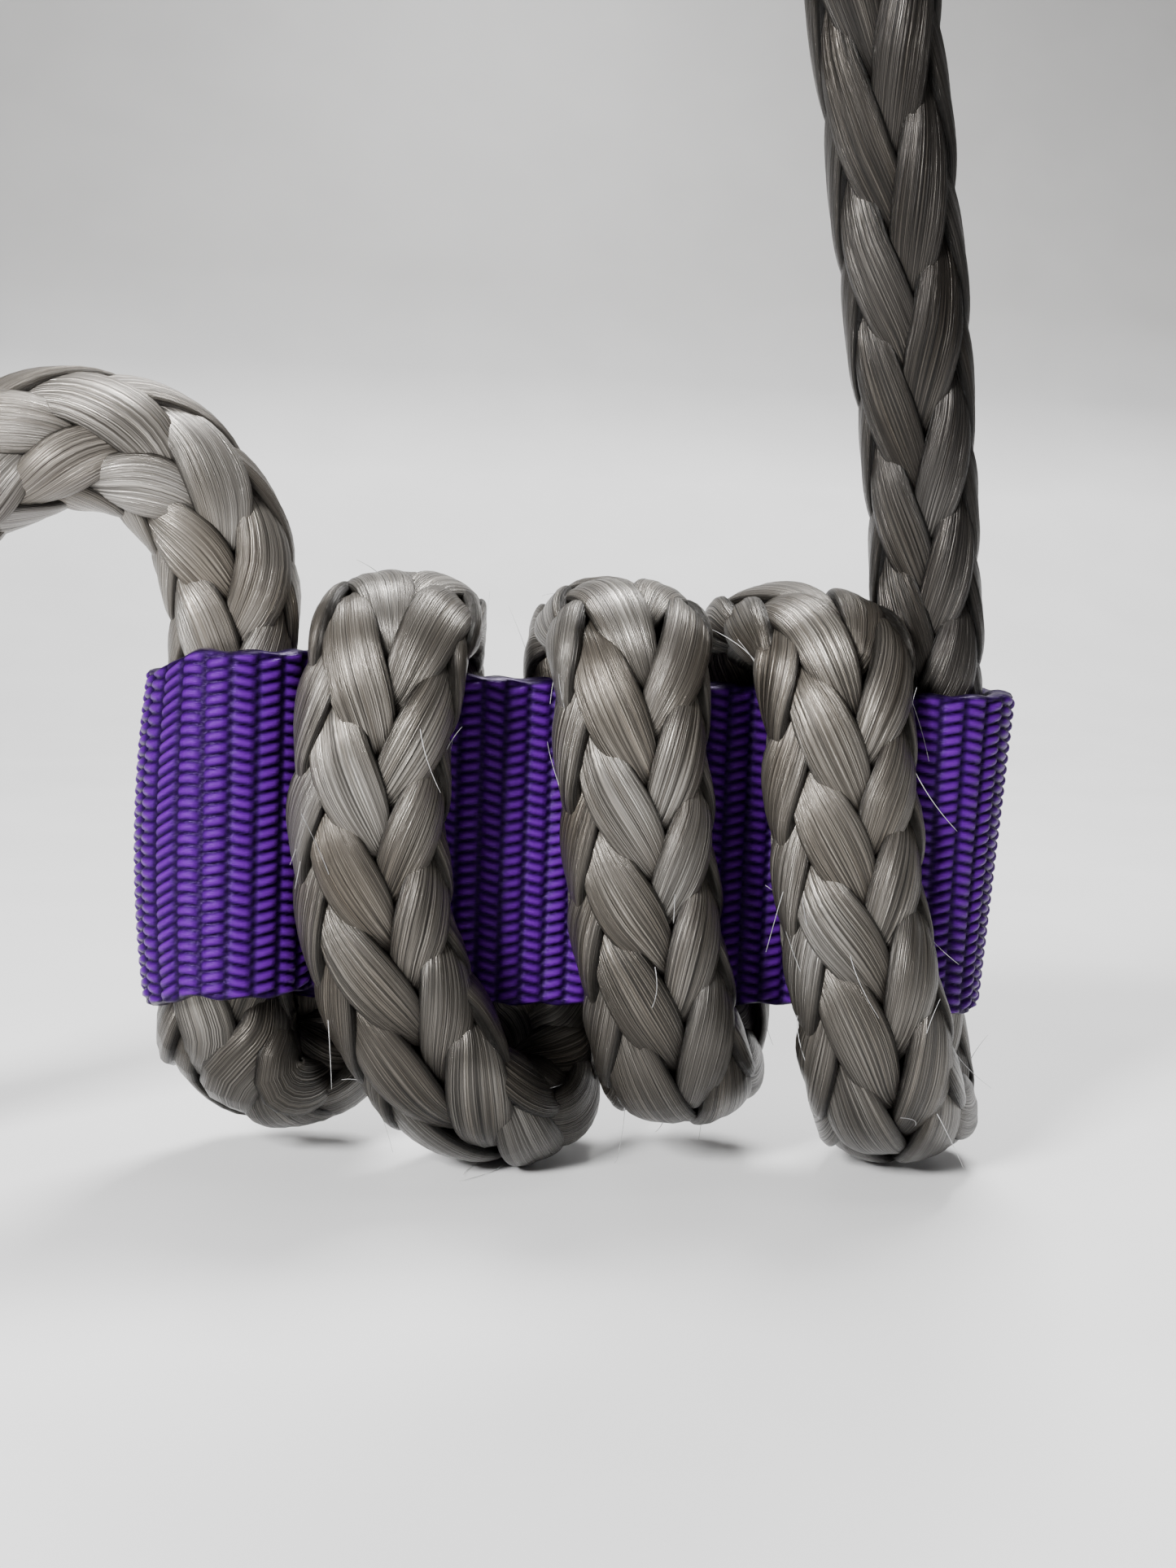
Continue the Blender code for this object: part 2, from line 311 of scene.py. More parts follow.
STRANDS_EACH_WAY = 6
COLUMNS_EACH_WAY = 3
OVER_SHARE = 0.86  # part of its path in which a strand shows
FLOAT_SWEEP = math.radians(60)  # how far round the rope it moves while it shows
COLUMN_ANGLE = math.radians(30)
TURNS_ROLL = math.radians(-9)  # how far the braid is rolled round its own axis in the turns
UPRIGHT_ROLL = math.radians(-19)  # and in the upright leg
STRAND_WIDTH, STRAND_THICK = 5.7, 2.1
END_DEPTH, UNDER_DEPTH = 1.7, 3.1
UNEVEN_EVERY = 8.0  # length over which a strand wanders
UNEVENNESS = (0.07, 0.16, 0.07, 0.08)  # and how far, in angle, depth, width and thickness
OUTER_POINTS, INNER_POINTS = 15, 6
RING_COUNT = OUTER_POINTS + INNER_POINTS
SQUARENESS = 0.86  # below 1, a strand's section is a little squarer than an ellipse
RIDGE = 0.035  # height of the ripples that run along a strand
RIPPLE_WAVES = (5, 8, 11)
MEAN_SIZE = 12  # the half width and half thickness together for which the strand sizes are given
ROLL_EASE = 12  # stations over which a roll fades in

# 1 along the turns, from fold to fold, and along the upright leg from inside its fold; 0 elsewhere.
in_turns = np.array([1.0 if point[2] < 52 and -30 < point[0] < 28 else 0.0 for point in centres])
upright = np.array([1.0 if (x > 31 and z > 20) or (x > 0 and z > 54) else 0.0 for x, _, z in centres])
roll = TURNS_ROLL * softened(in_turns[:, None], ROLL_EASE)[:, 0]
roll = roll + UPRIGHT_ROLL * softened(upright[:, None], ROLL_EASE)[:, 0]


def strand_path(number, hand):
    """Angle, depth, width and thickness of one strand at every station."""
    period = 2 * math.pi / COLUMNS_EACH_WAY
    shift = number / STRANDS_EACH_WAY + (0.5 / STRANDS_EACH_WAY if hand < 0 else 0)
    place = COLUMNS_EACH_WAY * (turns_made + shift)
    whole, part = np.floor(place), place % 1.0
    showing = part < OVER_SHARE
    over = np.clip(part / OVER_SHARE, 0, 1)
    under = np.clip((part - OVER_SHARE) / (1 - OVER_SHARE), 0, 1)
    ease = under * under * (3 - 2 * under) * 0.5 + under * 0.5
    angle = np.where(showing, (over - 0.5) * FLOAT_SWEEP, FLOAT_SWEEP / 2 + ease * (period - FLOAT_SWEEP))
    angle = hand * (-COLUMN_ANGLE + whole * period + angle)
    edge = np.abs(2 * over - 1)
    depth = np.where(showing, END_DEPTH * edge**2.4,
                     END_DEPTH + (UNDER_DEPTH - END_DEPTH) * np.sin(math.pi * under) ** 2)
    width = np.where(showing, 1 - 0.72 * edge**2.1, 0.28 + 0.2 * np.sin(math.pi * under))
    thick = np.where(showing, 1 - 0.12 * edge**2, 0.88 - 0.2 * np.sin(math.pi * under))
    table = softened(np.array([angle + roll, depth, width, thick]).T, 1)
    random = np.random.default_rng(60 + 2 * number + (hand > 0))
    spots = np.arange(0, stations[-1] + 20, UNEVEN_EVERY)
    for column, amount in enumerate(UNEVENNESS):
        table[:, column] += amount * np.interp(stations, spots, random.uniform(-1, 1, len(spots)))
    return table.T


def strand_mesh(number, hand, first, last, seed):
    """One strand between two stations: rings of points, their u and v, depths and crest shares."""
    random = np.random.default_rng(seed)
    angle, depth, width, thick = (column[first:last] for column in strand_path(number, hand))
    wide, tall = half_width[first:last], half_thick[first:last]
    middle_r = STRAND_THICK / 2 + depth
    cos, sin = np.cos(angle), np.sin(angle)
    normal = cos[:, None] * facing[first:last] / tall[:, None]
    normal = normal + sin[:, None] * across[first:last] / wide[:, None]
    normal /= np.linalg.norm(normal, axis=1)[:, None]
    scale = (wide + tall) / MEAN_SIZE
    middle = centres[first:last] + (tall * cos)[:, None] * facing[first:last]
    middle = middle + (wide * sin)[:, None] * across[first:last] - normal * (middle_r * scale)[:, None]
    run = np.gradient(middle, axis=0)
    run /= np.linalg.norm(run, axis=1)[:, None]
    normal -= run * (normal * run).sum(1)[:, None]
    normal /= np.linalg.norm(normal, axis=1)[:, None]
    side = np.cross(run, normal)

    outer = np.linspace(0, math.pi, OUTER_POINTS, endpoint=False)
    inner = np.linspace(math.pi, 2 * math.pi, INNER_POINTS, endpoint=False)
    ring = np.concatenate([outer, inner])
    c = np.sign(np.cos(ring)) * np.abs(np.cos(ring)) ** SQUARENESS
    h = np.sign(np.sin(ring)) * np.abs(np.sin(ring)) ** SQUARENESS
    along = stations[first:last]
    ripple = np.zeros((len(along), len(ring)))
    for waves in RIPPLE_WAVES:
        phase, drift = random.uniform(0, 2 * math.pi), random.uniform(-0.12, 0.12)
        ripple += np.cos(waves * ring[None, :] + phase + drift * along[:, None])
    ripple *= RIDGE * np.clip(np.sin(ring), 0, 1)[None, :]
    half_w = (STRAND_WIDTH / 2 * width * scale)[:, None]
    half_t = (STRAND_THICK / 2 * thick * scale)[:, None]
    points = middle[:, None, :] + side[:, None, :] * (half_w * c)[..., None]
    points = points + normal[:, None, :] * (half_t * h + ripple)[..., None]
    u = np.tile(ring / (2 * math.pi), (len(along), 1))
    v = np.tile(along[:, None], (1, len(ring)))
    crest = np.tile(np.clip(np.sin(ring), 0, 1), (len(along), 1))
    return points, u, v, depth, crest


def tube_quads(index):
    """The faces between the rings of a tube, from the numbers of its points, one row to a ring."""
    nxt = np.roll(index, -1, axis=1)
    return np.stack([index[:-1], nxt[:-1], nxt[1:], index[1:]], axis=-1).reshape(-1, 4)


def make_mesh(name, vertices, quads, caps, loops_uv, attributes):
    """A smooth-shaded mesh in metres with a UV map named strand and float attributes."""
    data = bpy.data.meshes.new(name)
    data.vertices.add(len(vertices))
    data.vertices.foreach_set("co", ((vertices + SHIFT) * MM).astype(np.float32).ravel())
    sizes = [4] * len(quads) + [len(cap) for cap in caps]
    corners = np.concatenate([np.asarray(quads).ravel(), *[np.asarray(cap) for cap in caps]])
    corners = corners.astype(np.int32)
    starts = np.concatenate([[0], np.cumsum(sizes)[:-1]]).astype(np.int32)
    data.loops.add(len(corners))
    data.loops.foreach_set("vertex_index", corners)
    data.polygons.add(len(sizes))
    data.polygons.foreach_set("loop_start", starts)
    data.update(calc_edges=True)
    data.validate()
    data.polygons.foreach_set("use_smooth", np.ones(len(data.polygons), bool))
    if loops_uv is not None:
        layer = data.uv_layers.new(name="strand")
        layer.data.foreach_set("uv", loops_uv[corners].astype(np.float32).ravel())
    for key, values in attributes.items():
        data.attributes.new(key, "FLOAT", "POINT").data.foreach_set("value", values.astype(np.float32))
    piece = bpy.data.objects.new(name, data)
    bpy.context.scene.collection.objects.link(piece)
    return piece


def braid(name, start, end):
    """All twelve strands between two lengths along the rope, as one piece."""
    first, last = int(round(start / STEP)), min(int(round(end / STEP)) + 1, len(stations))
    vertices, quads, caps, uvs, tints, depths, crests = [], [], [], [], [], [], []
    base = 0
    for hand in (1, -1):
        for number in range(STRANDS_EACH_WAY):
            seed = 20 + number + (10 if hand < 0 else 0)
            points, u, v, depth, crest = strand_mesh(number, hand, first, last, seed)
            rows = len(points)
            index = base + np.arange(rows * RING_COUNT).reshape(rows, RING_COUNT)
            quads.append(tube_quads(index))
            caps += [index[0][::-1], index[-1]]
            vertices.append(points.reshape(-1, 3))
            uvs.append(np.stack([u.ravel() + seed, v.ravel() * 0.01], axis=-1))
            tint = np.random.default_rng(seed).uniform(0, 1)
            tints.append(np.full(rows * RING_COUNT, tint))
            depths.append(np.repeat(depth, RING_COUNT))
            crests.append(crest.ravel())
            base += rows * RING_COUNT
    piece = make_mesh(name, np.vstack(vertices), np.vstack(quads), caps, np.vstack(uvs),
                      {"tint": np.concatenate(tints), "depth": np.concatenate(depths),
                       "crest": np.concatenate(crests)})
    path = [tuple(row) for row in (centres[first:last:3] + SHIFT) * MM]
    return piece, path


def length_at(condition):
    """How far along the rope the first station is at which condition holds."""
    return float(stations[np.flatnonzero(condition)[0]])


x, z = centres[:, 0], centres[:, 2]
CUT_Z = 38.0  # hidden inside the folds
TURNS_AT_LEAST = 200  # length of rope that the turns surely take
left_cut = length_at((x > -33) & (x < -28) & (z < CUT_Z))
right_cut = length_at((x > 31) & (z > CUT_Z) & (stations > left_cut + TURNS_AT_LEAST))
rope_end = float(stations[-1])
left_leg_rope, left_leg_path = braid("left_leg_rope", 0, left_cut)
turns_rope, turns_path = braid("turns_rope", left_cut, right_cut)
right_leg_rope, right_leg_path = braid("right_leg_rope", right_cut, rope_end)


# ---------------------------------------------------------------- webbing

BAND_LOW, BAND_HIGH = 15.0, 45.0
BAND_T = 2.1
BAND_HALF_GAP = 0.2
FOLD_IN_R = 6.0
NECK_R = 2.5
COLUMN_WIDTH = 2.08
ROWS = 29
ROW_PITCH = (BAND_HIGH - BAND_LOW) / ROWS
FLOAT_HEIGHT = 0.55
PER_FLOAT = 6  # points across and along each float
INNER_ROWS, EDGE_POINTS, EDGE_R = 12, 5, 0.5
FOLD_BULGE = 1.0
RIGHT_LEAN = 1.7  # how much further in the right fold's lower edge is than its upper one
FRONT_RISE = 2.3  # how far the webbing rides up on the front of the left fold


def band_plan():
    """The closed middle line of the webbing, seen from above, counterclockwise."""
    fold_r = FOLD_IN_R + BAND_T / 2
    layer_y = BAND_HALF_GAP + BAND_T / 2
    reach = math.sqrt((fold_r + NECK_R) ** 2 - (layer_y + NECK_R) ** 2)
    turn = math.atan2(layer_y + NECK_R, reach)
    plan = []
    for a in np.linspace(math.pi / 2, turn, 20):
        plan.append((FOLD_X[1] - reach + NECK_R * math.cos(a), -layer_y - NECK_R + NECK_R * math.sin(a)))
    for a in np.linspace(math.pi + turn, 3 * math.pi - turn, 120)[1:-1]:
        plan.append((FOLD_X[1] + fold_r * math.cos(a), fold_r * math.sin(a)))
    for a in np.linspace(-turn, -math.pi / 2, 20):
        plan.append((FOLD_X[1] - reach + NECK_R * math.cos(a), layer_y + NECK_R + NECK_R * math.sin(a)))
    mirror = FOLD_X[0] + FOLD_X[1]
    return np.array(plan + [(mirror - px, -py) for px, py in plan])


def column_count(length):
    """An even number of columns, so that they alternate all the way round."""
    return round(length / COLUMN_WIDTH / 2) * 2


def weave_height(along, up, length):
    """Height of the woven floats: ovals in upright columns, offset by half a row and tilted alternately."""
    column_place = along / length * column_count(length)
    column = np.floor(column_place)
    inside = column_place - column - 0.5
    side = np.where(column % 2 < 1, 1.0, -1.0)
    row_place = up / ROW_PITCH + 0.5 * (column % 2) + side * inside * 0.42
    inside_row = row_place - np.floor(row_place) - 0.5
    shape = np.clip(1 - np.abs(2.04 * inside_row) ** 2.6, 0, 1)
    return shape * np.clip(1 - np.abs(2 * inside) ** 3.4 * 0.8, 0, 1)


def front_of_left_fold(place):
    """1 where the webbing rides up on the front of the left fold, 0 away from it."""
    along = place[:, 0] - FOLD_X[0]
    rise = np.clip((along + 7.6) / 5, 0, 1)
    fall = np.clip((27 - along) / 18, 0, 1)
    front = np.clip((1.5 - place[:, 1]) / 4, 0, 1)
    return front * rise * rise * (3 - 2 * rise) * fall * fall * (3 - 2 * fall)


def webbing():
    """The woven band: a closed ring of woven profiles, worked out all round its plan."""
    plan = band_plan()
    closed = np.vstack([plan, plan[:1]])
    lengths = np.concatenate([[0], np.cumsum(np.linalg.norm(np.diff(closed, axis=0), axis=1))])
    total = lengths[-1]
    around = column_count(total) * PER_FLOAT
    at = np.arange(around) * total / around
    middle = np.stack([np.interp(at, lengths, closed[:, k]) for k in (0, 1)], axis=-1)
    run = np.roll(middle, -1, axis=0) - np.roll(middle, 1, axis=0)
    run /= np.linalg.norm(run, axis=1)[:, None]
    out = np.stack([run[:, 1], -run[:, 0]], axis=-1)
    half_t = BAND_T / 2
    height = BAND_HIGH - BAND_LOW
    profile = []  # outward offset, height above the lower edge, share of the weave
    for h in np.linspace(EDGE_R, height - EDGE_R, ROWS * PER_FLOAT):
        profile.append((half_t, h, 1.0))
    for a in np.linspace(math.pi / 2, -math.pi / 2, EDGE_POINTS + 2)[1:-1]:
        profile.append((half_t * math.sin(a), height - EDGE_R + EDGE_R * math.cos(a), 0.35))
    for h in np.linspace(height - EDGE_R, EDGE_R, INNER_ROWS):
        profile.append((-half_t, h, 0.0))
    for a in np.linspace(-math.pi / 2, math.pi / 2, EDGE_POINTS + 2)[1:-1]:
        profile.append((half_t * math.sin(a), EDGE_R - EDGE_R * math.cos(a), 0.35))
    profile = np.array(profile)
    offset, up, share = (profile[:, k][None, :] for k in range(3))
    woven = weave_height(at[:, None], up, total) * share
    far = np.clip((FOLD_X[0] - middle[:, 0]) / 6, 0, 1)
    barrel = FOLD_BULGE * far[:, None] * (0.3 - (2 * up / height - 1) ** 2)
    far = np.clip((middle[:, 0] - FOLD_X[1] + 2) / 8, 0, 1)
    barrel = barrel - RIGHT_LEAN * far[:, None] * (0.8 - up / height)
    reach = offset + (woven - 0.75 * share) * FLOAT_HEIGHT + barrel
    rings = len(profile)
    vertices = np.zeros((around, rings, 3))
    vertices[..., 0] = middle[:, 0][:, None] + out[:, 0][:, None] * reach
    vertices[..., 1] = middle[:, 1][:, None] + out[:, 1][:, None] * reach
    selvedge = 0.12 * np.sin(at / COLUMN_WIDTH * math.pi)[:, None] * (share < 1) * (share > 0)
    rise = FRONT_RISE * front_of_left_fold(middle)[:, None] * (0.8 + 0.2 * up / height)
    vertices[..., 2] = BAND_LOW + up + selvedge + rise
    index = np.arange(around * rings).reshape(around, rings)
    nxt, above = np.roll(index, -1, axis=0), np.roll(index, -1, axis=1)
    quads = np.stack([index, nxt, np.roll(nxt, -1, axis=1), above], axis=-1).reshape(-1, 4)
    uv = np.stack([np.broadcast_to(at[:, None] * 0.01, (around, rings)),
                   np.broadcast_to(up * 0.01, (around, rings))], axis=-1).reshape(-1, 2)
    return make_mesh("webbing", vertices.reshape(-1, 3), quads, [], uv, {"weave": woven.ravel()})


webbing_piece = webbing()

# ---------------------------------------------------------------- whippings and seam

TWINE_R = 0.42
WRAPS = 11
WHIP_RADIUS = 6.0


def tube_along(name, points, radius, sides=8):
    """A round tube with closed ends along points, in millimetres."""
    points = np.asarray(points, float)
    run = np.gradient(points, axis=0)
    run /= np.linalg.norm(run, axis=1)[:, None]
    normal = np.cross(run[0], (0.3, 0.5, 0.81))
    rings = []
    for place, direction in zip(points, run):
        normal = normal - direction * (normal @ direction)
        normal /= np.linalg.norm(normal)
        other = np.cross(direction, normal)
        a = np.linspace(0, 2 * math.pi, sides, endpoint=False)
        rings.append(place + radius * (np.cos(a)[:, None] * normal + np.sin(a)[:, None] * other))
    index = np.arange(len(points) * sides).reshape(len(points), sides)
    return make_mesh(name, np.vstack(rings), tube_quads(index), [index[0][::-1], index[-1]], None, {})


def whipping(name, end, along):
    """Close wraps of twine round the leg, just short of its end."""
    axis = unit(along)
    side = unit(np.cross(axis, (0, 1, 0)))
    third = np.cross(axis, side)
    count = WRAPS * 28
    turn = np.linspace(0, WRAPS * 2 * math.pi, count)
    reach = 1.5 + 7.0 * np.linspace(0, 1, count)
    points = np.array(end) - axis * reach[:, None]
    points = points + WHIP_RADIUS * (np.cos(turn)[:, None] * side + np.sin(turn)[:, None] * third)
    return tube_along(name, points, TWINE_R)


left_whipping = whipping("left_whipping", THROAT, np.array(THROAT) - np.array((-88.5, -4.0, 7.2)))
right_whipping = whipping("right_whipping", RIGHT_THROAT,
                          np.array(RIGHT_THROAT) - np.array(RIGHT_LEG_ROUTE[-2]))

FILAMENTS, FILAMENT_RINGS, FILAMENT_RADIUS = 110, 9, 0.045
FILAMENT_MARGIN = 25  # how far they stay from the ends of the turns
FLOOR_CLEARANCE = 0.1


def loose_filaments():
    """Broken fibres that stand off the rope in the turns."""
    random = np.random.default_rng(7)
    low, high = (int(end / STEP) for end in (left_cut + FILAMENT_MARGIN, right_cut - FILAMENT_MARGIN))
    vertices, quads, caps = [], [], []
    for number in range(FILAMENTS):
        at = random.integers(low, high)
        a = random.uniform(0, 2 * math.pi)
        around = math.cos(a) * facing[at] + math.sin(a) * across[at]
        start = centres[at] + facing[at] * half_thick[at] * math.cos(a)
        start = start + across[at] * half_width[at] * math.sin(a)
        lean = random.uniform(0.15, 0.5)
        heading = unit(tangents[at] * random.choice((-1, 1)) + around * lean)
        bend = unit(random.normal(size=3)) * random.uniform(0.1, 0.4) + around * random.uniform(-0.1, 0.15)
        length = random.uniform(2.5, 7.0)
        part = np.linspace(0, 1, FILAMENT_RINGS)[:, None]
        points = start - around * 0.4 + length * (heading * part + bend * part**2)
        points[:, 2] = np.maximum(points[:, 2], FLOOR_CLEARANCE)
        run = np.gradient(points, axis=0)
        run /= np.linalg.norm(run, axis=1)[:, None]
        side = np.cross(run, (0.31, 0.52, 0.8))
        side /= np.linalg.norm(side, axis=1)[:, None]
        other = np.cross(run, side)
        radius = FILAMENT_RADIUS * (1 - 0.6 * part)
        spokes = np.radians((0, 120, 240))
        rings = [points + radius * (math.cos(b) * side + math.sin(b) * other) for b in spokes]
        size = FILAMENT_RINGS * len(spokes)
        index = number * size + np.arange(size).reshape(FILAMENT_RINGS, len(spokes))
        quads.append(tube_quads(index))
        caps += [index[0][::-1], index[-1]]
        vertices.append(np.stack(rings, axis=1).reshape(-1, 3))
    return make_mesh("loose_filaments", np.vstack(vertices), np.vstack(quads), caps, None, {})


filaments = loose_filaments()

STITCH_X, STITCHES, STITCH_MARGIN = -8.0, 10, 1.5


def seam():
    """A line of lockstitches down the back layer."""
    count = STITCHES * 12
    part = np.linspace(0, 1, count)
    z_values = BAND_LOW + STITCH_MARGIN + (BAND_HIGH - BAND_LOW - 2 * STITCH_MARGIN) * part
    rise = 0.32 * np.sin(part * STITCHES * 2 * math.pi)
    y_values = BAND_HALF_GAP + BAND_T + 0.3 + rise
    points = np.stack([np.full(count, STITCH_X), y_values, z_values], axis=-1)
    return tube_along("seam_stitches", points, 0.34)


seam_piece = seam()

# ---------------------------------------------------------------- materials


class Nodes:
    """A new node material with short ways to add nodes and links."""

    def __init__(self, name):
        self.material = bpy.data.materials.new(name)
        self.material.use_nodes = True
        self.tree = self.material.node_tree
        self.shader = self.tree.nodes["Principled BSDF"]

    def add(self, kind, **settings):
        node = self.tree.nodes.new(kind)
        for key, value in settings.items():
            if key in node.inputs:
                node.inputs[key].default_value = value
            else:
                setattr(node, key, value)
        return node

    def link(self, source, target):
        self.tree.links.new(source, target)

    def ramp(self, source, *stops):
        node = self.add("ShaderNodeValToRGB")
        node.color_ramp.elements[0].position, node.color_ramp.elements[0].color = stops[0]
        node.color_ramp.elements[1].position, node.color_ramp.elements[1].color = stops[-1]
        for position, colour in stops[1:-1]:
            node.color_ramp.elements.new(position).color = colour
        self.link(source, node.inputs["Fac"])
        return node.outputs["Color"]

    def stretched_noise(self, source, stretch, scale, detail=4.0):
        mapping = self.add("ShaderNodeMapping")
        mapping.inputs["Scale"].default_value = stretch
        noise = self.add("ShaderNodeTexNoise", Scale=scale, Detail=detail)
        self.link(source, mapping.inputs["Vector"])
        self.link(mapping.outputs["Vector"], noise.inputs["Vector"])
        return noise.outputs["Fac"]

    def mix(self, kind, factor, first, second):
        node = self.add("ShaderNodeMix", data_type="RGBA", blend_type=kind)
        for socket, value in zip((node.inputs[0], node.inputs[6], node.inputs[7]), (factor, first, second)):
            if isinstance(value, (int, float, tuple)):
                socket.default_value = value
            else:
                self.link(value, socket)
        return node.outputs[2]

    def bump(self, height, strength, distance, below=None):
        node = self.add("ShaderNodeBump", Strength=strength, Distance=distance)
        self.link(height, node.inputs["Height"])
        if below is not None:
            self.link(below, node.inputs["Normal"])
        return node.outputs["Normal"]


def grey(value, warm=0.0):
    return (value * (1 + warm), value, value * (1 - 1.3 * warm), 1)


def rope_material(name, dark, middle, light, low=1.0):
    """Satin fibres along each strand, with painted shade in the gaps and on the strands' sides and, by low,
    towards the floor.
    """
    m = Nodes(name)
    uv = m.add("ShaderNodeUVMap", uv_map="strand").outputs["UV"]
    place = m.add("ShaderNodeTexCoord").outputs["Object"]
    fibres = m.stretched_noise(uv, (140, 6, 1), 1.0, 8.0)
    streaks = m.stretched_noise(uv, (60, 6, 1), 1.0, 4.0)
    patches = m.stretched_noise(place, (1, 1, 1), 90.0, 2.0)
    tint = m.add("ShaderNodeAttribute", attribute_name="tint").outputs["Fac"]
    depth = m.add("ShaderNodeAttribute", attribute_name="depth").outputs["Fac"]
    base = m.ramp(fibres, (0.33, dark), (0.5, middle), (0.68, light))
    warm = m.ramp(streaks, (0.5, (1, 1, 1, 1)), (0.72, (0.74, 0.66, 0.56, 1)))
    colour = m.mix("MULTIPLY", 0.45, base, warm)
    patch = m.ramp(patches, (0.35, grey(0.78, 0.03)), (0.65, grey(1.12)))
    colour = m.mix("MULTIPLY", 0.8, colour, patch)
    lengths = m.stretched_noise(uv, (2, 6, 1), 1.0, 1.0)
    colour = m.mix("MULTIPLY", 1.0, colour, m.ramp(lengths, (0.35, grey(0.68, 0.06)), (0.65, grey(1.25))))
    strand = m.ramp(tint, (0.0, grey(0.8, 0.05)), (1.0, grey(1.12)))
    colour = m.mix("MULTIPLY", 1.0, colour, strand)
    # Painted shade where a strand sinks under its neighbours, darker the deeper it lies.
    painted_gap_shade = m.ramp(depth, (0.0, (1, 1, 1, 1)), (1.0, grey(0.3, 0.05)))
    divided = m.add("ShaderNodeMath", operation="DIVIDE")
    divided.inputs[1].default_value = 2.4
    m.link(depth, divided.inputs[0])
    m.link(divided.outputs[0], painted_gap_shade.node.inputs["Fac"])
    colour = m.mix("MULTIPLY", 1.0, colour, painted_gap_shade)
    crest = m.add("ShaderNodeAttribute", attribute_name="crest").outputs["Fac"]
    # Painted shade on each strand's sides, between the floats, down to 0.12 at the edges.
    rounded = m.ramp(crest, (0.05, grey(0.12, 0.05)), (0.5, grey(0.85)), (0.9, grey(1.0)))
    colour = m.mix("MULTIPLY", 1.0, colour, rounded)
    # Painted shade towards the floor: darker by low below 36 mm up, off when low is 1.
    split = m.add("ShaderNodeSeparateXYZ")
    m.link(place, split.inputs[0])
    painted_low_shade = m.ramp(split.outputs["Z"], (0.004, grey(low)), (0.036, grey(1.0)))
    colour = m.mix("MULTIPLY", 1.0, colour, painted_low_shade)
    m.link(colour, m.shader.inputs["Base Color"])
    shine = m.ramp(fibres, (0.3, grey(0.44)), (0.7, grey(0.24)))
    m.link(shine, m.shader.inputs["Roughness"])
    m.shader.inputs["Specular IOR Level"].default_value = 0.6
    m.shader.inputs["Metallic"].default_value = 0.7
    normal = m.bump(streaks, 0.3, 0.00025)
    m.link(m.bump(fibres, 0.75, 0.0002, normal), m.shader.inputs["Normal"])
    return m.material


def webbing_material():
    """Shiny purple yarn with fine fibres, its colour tied to the weave height: painted near-black shade in
    the gaps, full purple on the floats.
    """
    m = Nodes("purple_webbing")
    uv = m.add("ShaderNodeUVMap", uv_map="strand").outputs["UV"]
    weave = m.add("ShaderNodeAttribute", attribute_name="weave").outputs["Fac"]
    fibres = m.stretched_noise(uv, (120, 1500, 1), 1.0, 4.0)
    patches = m.stretched_noise(uv, (30, 30, 1), 1.0, 2.0)
    # Painted shade: the lower the weave, the darker the yarn, so the gaps between floats, the rims and the
    # plain inner face come out nearly black.
    base = m.ramp(weave, (0.0, (0.0015, 0.0001, 0.006, 1)), (0.4, (0.011, 0.0004, 0.034, 1)),
                  (0.75, (0.04, 0.0014, 0.11, 1)), (1.0, (0.07, 0.003, 0.18, 1)))
    colour = m.mix("MULTIPLY", 0.6, base, m.ramp(fibres, (0.3, grey(0.7)), (0.7, grey(1.2))))
    colour = m.mix("MULTIPLY", 0.5, colour, m.ramp(patches, (0.3, grey(0.8)), (0.7, grey(1.15))))
    m.link(colour, m.shader.inputs["Base Color"])
    m.shader.inputs["Roughness"].default_value = 0.36
    m.shader.inputs["Specular IOR Level"].default_value = 0.2
    m.shader.inputs["Specular Tint"].default_value = (0.55, 0.3, 1.0, 1)
    m.link(m.bump(fibres, 0.5, 0.00015), m.shader.inputs["Normal"])
    return m.material


def twine_material(name, dark, light):
    """Dull fibres between two tones."""
    m = Nodes(name)
    place = m.add("ShaderNodeTexCoord").outputs["Object"]
    fibres = m.stretched_noise(place, (1, 1, 3), 2200.0, 3.0)
    m.link(m.ramp(fibres, (0.3, dark), (0.7, light)), m.shader.inputs["Base Color"])
    m.shader.inputs["Roughness"].default_value = 0.55
    m.link(m.bump(fibres, 0.5, 0.0001), m.shader.inputs["Normal"])
    return m.material


# One grey rope in three copies of its material: the left leg's is painted lit, the right leg's is painted
# in deep shade, and the turns get painted shade towards the floor.
left_leg_rope.data.materials.append(rope_material(
    "rope_painted_lit", (0.035, 0.032, 0.029, 1), (0.17, 0.164, 0.155, 1), (0.42, 0.41, 0.39, 1)))
turns_rope.data.materials.append(rope_material(
    "rope_grey", (0.013, 0.0118, 0.0105, 1), (0.105, 0.1005, 0.0935, 1), (0.36, 0.351, 0.333, 1), low=0.42))
right_leg_rope.data.materials.append(rope_material(
    "rope_painted_shade", (0.005, 0.0044, 0.004, 1), (0.027, 0.025, 0.0232, 1), (0.11, 0.105, 0.099, 1)))
webbing_piece.data.materials.append(webbing_material())
twine = twine_material("whipping_twine", grey(0.03), grey(0.1))
left_whipping.data.materials.append(twine)
right_whipping.data.materials.append(twine)
filaments.data.materials.append(twine_material("filament", grey(0.3), grey(0.45)))
seam_piece.data.materials.append(twine_material("seam_thread", (0.06, 0.015, 0.2, 1), (0.2, 0.07, 0.5, 1)))

# ---------------------------------------------------------------- floor and light


